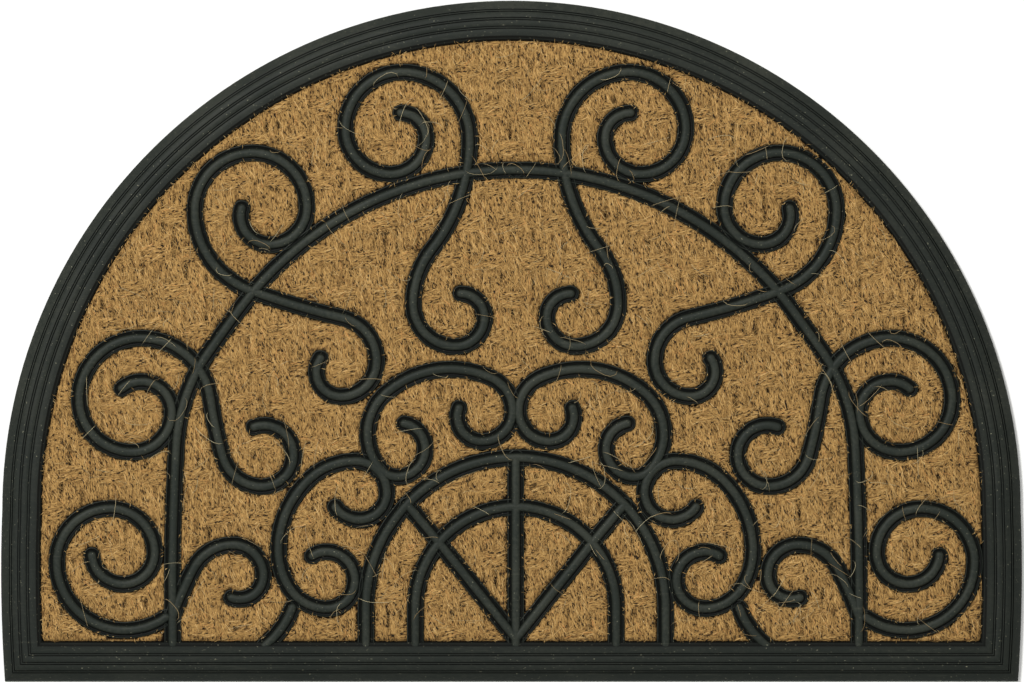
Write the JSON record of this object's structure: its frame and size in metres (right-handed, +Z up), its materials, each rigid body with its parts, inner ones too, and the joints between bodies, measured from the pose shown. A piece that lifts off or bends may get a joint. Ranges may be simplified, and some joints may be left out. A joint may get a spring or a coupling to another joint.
{
  "type": "half-round coir doormat with rubber border",
  "caption": "Flat half-round doormat: a woven coir sheet held in one rubber moulding with a stepped border and a net of scroll-shaped ribs.",
  "frame": {"origin": "middle of the underside, on the surface the mat lies on", "axes": "+X along the straight edge, +Y from the straight edge to the top of the dome, +Z up through the mat"},
  "size_m": [0.6, 0.4, 0.009],
  "materials": {
    "rubber": "matt moulded black-green rubber with a faint bloom and dust",
    "coir": "coarse natural coir yarn, matt golden brown"
  },
  "bodies": {
    "root": {"rubber_moulding": "rubber", "coir_sheet": "coir"}
  },
  "joints": []
}
